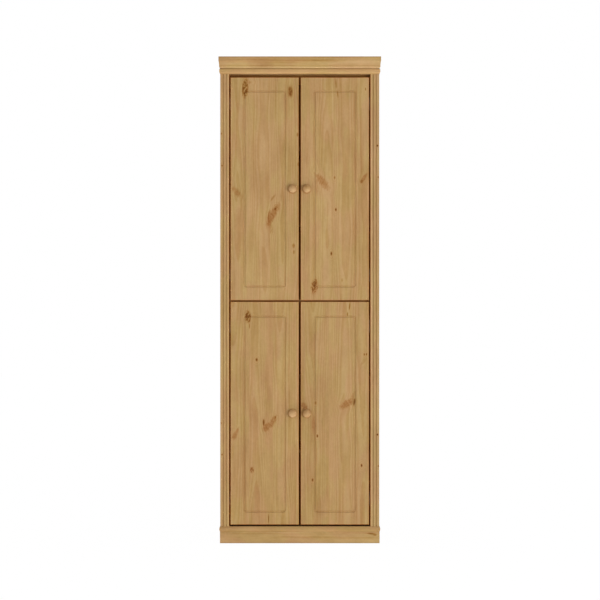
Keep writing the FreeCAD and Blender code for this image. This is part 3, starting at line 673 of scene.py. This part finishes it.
# Painted shade on what looks up, painted light on what looks down.
cornice_side_pine = pine(
    "cornice_side_pine", "y", "z", seed=15.0, stave=WIDE_STAVE, tone=1.05, painted_facing_light=0.5
)
dress(cornice_side_pine, "cornice_left", "cornice_right")
raw_pine = pine("raw_pine", "z", "x", seed=5.0, stave=NARROW_STAVE, tone=1.04, lacquer=0.0)
dress(raw_pine, "corner_blocks", "hinge_packing_blocks")

# Back: two thin pine-faced boards, screwed into the rebates and to the middle shelf.

back_pine = pine("back_pine", "z", "x", seed=16.0, stave=0.16, pith=0.03, knots=0.2, lacquer=0.3)
dress(back_pine, "back_panel_lower", "back_panel_upper")

# Adjustable shelves: four glued boards with eased front edges, lying on pins of nickel-plated
# steel. The dull colour of the plating is a warm brown, painted shade so that it looks warm in
# the gaps beside the doors.

shelf_pine = pine("shelf_pine", "x", "y", seed=17.0, knots=0.25)
dress(shelf_pine, "shelf_lower_bottom", "shelf_lower_top")
dress(shelf_pine, "shelf_upper_bottom", "shelf_upper_top")

PLATING_CLOUDS = 90.0
DRAW_DULL = 0.4
CLOUD_DULL = 0.6
DRAW_ROUGHNESS = 0.16
CLOUD_ROUGHNESS = 0.1


def steel(name, bright, dull, draw_marks, roughness):
    """Plated steel with fine draw marks one way and faint duller clouds in the plating."""
    material, shade, shader = new_material(name)
    place = shade.add("TexCoord", output="Object")
    draw = place.pattern(draw_marks, 2.0, 0.6)
    cloud = place.noise(3.0, 0.6, PLATING_CLOUDS)
    relief = {"Strength": 0.15, "Distance": 0.1 * MILLIMETRE, "Height": draw}
    plug(
        shader,
        Base_Color=(cloud * CLOUD_DULL + draw * DRAW_DULL).mix(bright, dull),
        Metallic=1.0,
        Roughness=draw * DRAW_ROUGHNESS + cloud * CLOUD_ROUGHNESS + roughness,
        Normal=shade.add("Bump", None, relief),
    )
    return material


# The bright and the dull colour of the plating; the dull brown is painted shade for the gaps.
NICKEL = (paint(208, 190, 158), paint(122, 100, 70))
nickel_steel = steel("nickel_steel", *NICKEL, (1500, 1500, 120), 0.22)
dress(nickel_steel, "shelf_pins")

# Hinges on the cupboard's side: mounting plates on packing blocks behind the stiles, and the
# swan-necked arms, all nickel-plated pressed steel, with bright zinc-plated screws.

ZINC = (paint(206, 210, 216), paint(150, 148, 142))
zinc_steel = steel("zinc_steel", *ZINC, (900, 900, 900), 0.24)
dress(nickel_steel, "hinge_mounting_plates", "hinge_arms")
dress(zinc_steel, "hinge_side_screws")

# Dowels and screws of the carcass: beech dowels, glued into the ends of the boards, and bright
# zinc-plated steel screws through the top and base panels and round the back boards.

BEECH_PALE = paint(214, 176, 132)
BEECH_WARM = paint(196, 152, 108)
BEECH_RAY = paint(150, 104, 68)


def beech(name):
    """Bare beech with its short darker rays."""
    material, shade, shader = new_material(name)
    place = shade.add("TexCoord", output="Object")
    rays = place.pattern((900, 900, 350), 1.0, 0.5).rise(0.62, 0.7)
    colour = place.pattern((120, 120, 30), 2.0, 0.5).mix(BEECH_PALE, BEECH_WARM)
    colour = (rays * 0.5).mix(colour, BEECH_RAY)
    relief = {"Strength": 0.3, "Distance": 0.2 * MILLIMETRE, "Height": rays}
    plug(shader, Base_Color=colour, Roughness=0.6, Normal=shade.add("Bump", None, relief))
    return material


dress(beech("beech"), "carcass_dowels")
dress(zinc_steel, "carcass_screws", "back_panel_screws")

# Magnetic catches on the middle shelf: brown moulded housings with a fine spark texture, held
# by small screws.

CATCH_BROWN = paint(98, 66, 36)
CATCH_DARK_BROWN = paint(86, 56, 28)
SPARK_GRAINS = 2600.0
PLASTIC_CLOUDS = 60.0


def moulded_plastic(name):
    """Brown plastic from a spark-eroded mould."""
    material, shade, shader = new_material(name)
    place = shade.add("TexCoord", output="Object")
    spark = place.noise(2.0, 0.6, SPARK_GRAINS)
    relief = {"Strength": 0.35, "Distance": 0.1 * MILLIMETRE, "Height": spark}
    plug(
        shader,
        Base_Color=place.noise(2.0, 0.5, PLASTIC_CLOUDS).mix(CATCH_BROWN, CATCH_DARK_BROWN),
        Roughness=spark * 0.15 + 0.5,
        Specular_IOR_Level=0.25,
        Normal=shade.add("Bump", None, relief),
    )
    return material


dress(moulded_plastic("catch_plastic"), "magnetic_catches")
dress(zinc_steel, "catch_screws")

# Doors: four boards glued up from staves, each with a routed groove that has a little painted
# shade in it. Their narrow sides have the painted shade of the gaps, darker and warmer, and
# their arrises painted highlights. Every board has its own knots, placed from its lower left
# corner as seen from the front: kind, across, up, half width, half height, lean and strength.

DOOR_MARKS = {
    "upper_left": [
        ("cluster", 59, 849, 12, 36, 4, 0.9),
        ("flame", 72, 872, 12, 5, 0, 0.5),
        ("knot", 240, 835, 8, 19, 0, 1.0),
        ("flame", 169, 342, 11, 40, 25, 1.15),
        ("flame", 156, 326, 8, 30, 4, 1.15),
        ("line", 153, 328, 2.5, 22, 0, 0.5),
        ("flame", 163, 288, 7, 20, -8, 0.35),
        ("dot", 180, 366, 3.5, 6, 20, 0.9),
        ("flame", 193, 374, 5, 18, 10, 0.5),
        ("line", 170, 410, 4, 16, 35, 0.3),
        ("flame", 24, 434, 10, 24, -40, 0.6),
        ("knot", 253, 218, 5, 8, 0, 0.5),
        ("line", 254, 193, 3, 8, 0, 0.5),
        ("line", 268, 663, 3, 8, 0, 0.6),
        ("line", 271, 544, 3, 7, 0, 0.5),
    ],
    "upper_right": [
        ("line", 142, 865, 3, 18, -4, 0.4),
        ("line", 148, 825, 3, 14, -8, 0.4),
        ("dot", 260, 845, 2, 5, 0, 0.6),
        ("dot", 136, 491, 3, 5, 0, 0.5),
        ("flame", 88, 474, 12, 34, -38, 0.8),
        ("flame", 66, 470, 6, 40, 0, 0.25),
        ("knot", 244, 476, 5, 7, 10, 0.65),
        ("flame", 254, 489, 7, 20, 35, 0.8),
        ("dot", 141, 363, 3, 5, 0, 1.25),
        ("dot", 123, 187, 3, 6, 0, 1.2),
        ("cluster", 56, 57, 12, 28, 8, 0.9),
        ("line", 166, 81, 3, 7, 0, 0.3),
    ],
    "lower_left": [
        ("cluster", 70, 832, 11, 23, -4, 1.0),
        ("line", 76, 795, 2.5, 10, 0, 0.45),
        ("dot", 105, 660, 3.6, 5, 0, 1.1),
        ("knot", 246, 455, 4, 6, 0, 0.5),
        ("line", 133, 409, 4, 12, 0, 1.05),
        ("flame", 144, 390, 12, 16, 30, 1.0),
        ("flame", 170, 413, 9, 24, 28, 0.9),
        ("dot", 180, 430, 2.5, 5, 0, 0.7),
        ("flame", 17, 356, 8, 16, 20, 0.8),
        ("flame", 27, 374, 4, 14, 20, 0.7),
        ("cluster", 86, 219, 7, 11, 0, 0.8),
        ("line", 153, 23, 2, 18, 0, 0.9),
    ],
    "lower_right": [
        ("line", 196, 873, 2.5, 14, 6, 0.8),
        ("line", 188, 842, 2.5, 8, 0, 0.6),
        ("dot", 255, 681, 2.6, 4, 0, 0.7),
        ("dot", 264, 682, 2.6, 4, 0, 0.7),
        ("flame", 252, 652, 5, 16, 40, 0.3),
        ("dot", 60, 487, 3, 5, 0, 0.5),
        ("flame", 16, 472, 10, 16, -25, 0.9),
        ("line", 215, 491, 3.5, 14, 10, 1.1),
        ("flame", 186, 484, 12, 28, 58, 0.9),
        ("flame", 208, 512, 6, 16, 12, 0.5),
        ("flame", 52, 405, 6, 32, 0, 0.4),
        ("dot", 67, 355, 3, 5, 0, 1.2),
        ("dot", 244, 237, 3, 5, 0, 1.4),
        ("dot", 48, 179, 3, 5, 0, 0.95),
    ],
}
# The seed and the tone of each door's wood.
DOOR_WOOD = {
    "upper_left": (21.3, 0.985),
    "upper_right": (22.6, 0.985),
    "lower_left": (23.2, 1.0),
    "lower_right": (24.8, 0.965),
}
# Painted shade round a knob on its door, a little below it and to its left.
KNOB_SHADE_RADIUS = 17
KNOB_SHADE_SHIFT = -1
KNOB_SHADE_STRENGTH = 0.7
KNOB_SEED_STEP = 7.5
KNOB_PITH = 0.008
for door, marks in DOOR_MARKS.items():
    door_seed, door_tone = DOOR_WOOD[door]
    door_panel = f"door_panel_{door}"
    door_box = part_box(door_panel)
    knob = f"knob_{door}"
    knob_low, knob_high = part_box(knob)
    knob_middle = (knob_low + knob_high) / 2
    on_door = (knob_middle - door_box[0]) / MILLIMETRE
    knob_shade_place = (on_door.x + KNOB_SHADE_SHIFT, on_door.z + KNOB_SHADE_SHIFT)
    painted_knob_shade = ("painted_knob_shade", *knob_shade_place, KNOB_SHADE_RADIUS, KNOB_SHADE_RADIUS, 0, KNOB_SHADE_STRENGTH)
    door_pine = pine(
        f"door_pine_{door}",
        "z",
        "x",
        seed=door_seed,
        origin=door_box[0],
        marks=[*marks, painted_knob_shade],
        tone=door_tone,
        painted_hollow_shade=0.02,
        bounds=door_box,
        painted_rim_shading={"x": (0.08, 0.08), "z": (0.1, 0.1)},
        edges={"x": (1.0, 1.0), "z": (1.0, 1.0)},
    )
    dress(door_pine, door_panel)

    # Knob: turned from a length of pine, so that its end grain faces the front, and held by a
    # screw from the back of the door.

    knob_pine = pine(
        f"knob_pine_{door}",
        "y",
        "x",
        seed=door_seed + KNOB_SEED_STEP,
        stave=NARROW_STAVE,
        origin=knob_middle,
        pith=KNOB_PITH,
        tone=1.045,
        deep=-0.04,
        pink=0.8,
        # Painted shade on what looks up, painted light on what looks down.
        painted_facing_light=0.3,
    )
    dress(knob_pine, knob)
    dress(zinc_steel, f"knob_screw_{door}")

    # Hinge cups, pressed into their bores, the pins that join them to the arms, and the strike
    # plate that the magnetic catch holds.

    dress(nickel_steel, f"hinge_cups_{door}", f"hinge_pins_{door}")
    dress(zinc_steel, f"cup_screws_{door}", f"strike_plate_{door}")

# Floor: a plain white sheet of paper that carries the cupboard's shadow. The camera sees it
# nearly as white as the world behind it.

FLOOR_SIZE = 30.0
FLOOR_ALBEDO = 0.88
FLOOR_ROUGHNESS = 0.9
FLOOR_SEEN_SHARE = 0.95
FLOOR_SEEN_WHITE = 1.03
WHITE = (1.0, 1.0, 1.0, 1.0)
bpy.ops.mesh.primitive_plane_add(size=FLOOR_SIZE, location=(0, 0, 0))
floor = bpy.context.object
floor.name = "floor"
floor_material, floor_shade, floor_shader = new_material("floor_paper")
plug(floor_shader, Base_Color=(*(FLOOR_ALBEDO,) * 3, 1.0), Roughness=FLOOR_ROUGHNESS)
seen = floor_shade.add("LightPath", output="Is Camera Ray")
glow = floor_shade.add("Emission", None, {"Color": WHITE, "Strength": FLOOR_SEEN_WHITE})
lit = Shade(floor_material.node_tree, floor_shader.outputs[0])
paper = floor_shade.add("MixShader", None, {0: seen * FLOOR_SEEN_SHARE, 1: lit, 2: glow})
floor_output = floor_material.node_tree.nodes["Material Output"]
floor_material.node_tree.links.new(paper.socket, floor_output.inputs[0])
floor.data.materials.append(floor_material)

# World: white to the camera and in reflections, and dimmer as a light.

WORLD_LIGHT = 0.45
world = bpy.data.worlds.new("studio")
bpy.context.scene.world = world
world.use_nodes = True
world_shade = Shade(world.node_tree)
direct = world_shade.add("LightPath", output="Is Camera Ray")
for kind in ("Is Glossy Ray", "Is Transmission Ray"):
    direct = direct.math("MAXIMUM", world_shade.add("LightPath", output=kind))
background = world.node_tree.nodes["Background"]
background.inputs["Color"].default_value = WHITE
strength = direct * (1.0 - WORLD_LIGHT) + WORLD_LIGHT
world.node_tree.links.new(strength.socket, background.inputs["Strength"])

# Lamps of a bright studio: most of the light comes up from the floor in front of the plinth,
# which lights the mouldings from below, and a weaker lamp low on the right models them.

FLOOR_LAMP_SIZE = (16.0, 14.0)
FLOOR_LAMP_POWER = 320.0
FLOOR_LAMP_CLEARANCE = 0.001
KEY_SIZE = (1.4, 1.4)
KEY_POWER = 129.0
KEY_PLACE = (2.9, -5.0, 0.35)


def lamp(name, place, aim, power, size):
    """A soft flat lamp of this width and height, at a place, that looks at another."""
    data = bpy.data.lights.new(name, "AREA")
    data.energy = power
    data.shape = "RECTANGLE"
    data.size, data.size_y = size
    holder = bpy.data.objects.new(name, data)
    bpy.context.scene.collection.objects.link(holder)
    holder.location = place
    back = [start - end for start, end in zip(place, aim)]
    tilt = math.atan2(math.hypot(back[0], back[1]), back[2])
    holder.rotation_euler = (tilt, 0, math.atan2(back[0], -back[1]))
    holder.visible_camera = False


plinth_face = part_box("plinth_front")[0].y
floor_lamp_y = plinth_face - FLOOR_LAMP_CLEARANCE - FLOOR_LAMP_SIZE[1] / 2
floor_lamp_place = (0, floor_lamp_y, FLOOR_LAMP_CLEARANCE)
lamp("floor_glow", floor_lamp_place, (0, floor_lamp_y, 1), FLOOR_LAMP_POWER, FLOOR_LAMP_SIZE)
cupboard_middle = (cad_bounds[0] + cad_bounds[1]) / 2
lamp("key_box", KEY_PLACE, cupboard_middle, KEY_POWER, KEY_SIZE)

# Camera: straight in front, at half height, as far away as the photograph was taken from.

FRAME_PIXELS = 600
PIXEL = 0.004
SENSOR = 36.0
CAMERA_DISTANCE = 7.0
PHOTO_MIDDLE_PIXEL = 299.77
PHOTO_FLOOR_PIXEL = 543.15
carcass_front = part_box("front_stile_left")[0].y
camera_data = bpy.data.cameras.new("camera")
camera_data.sensor_width = SENSOR
camera_data.lens = SENSOR * CAMERA_DISTANCE / (FRAME_PIXELS * PIXEL)
camera = bpy.data.objects.new("camera", camera_data)
bpy.context.scene.collection.objects.link(camera)
camera.location = (
    (FRAME_PIXELS / 2 - PHOTO_MIDDLE_PIXEL) * PIXEL,
    carcass_front - CAMERA_DISTANCE,
    (PHOTO_FLOOR_PIXEL - FRAME_PIXELS / 2) * PIXEL,
)
camera.rotation_euler = (math.radians(90), 0, 0)
bpy.context.scene.camera = camera
bpy.context.scene.view_settings.view_transform = "Standard"
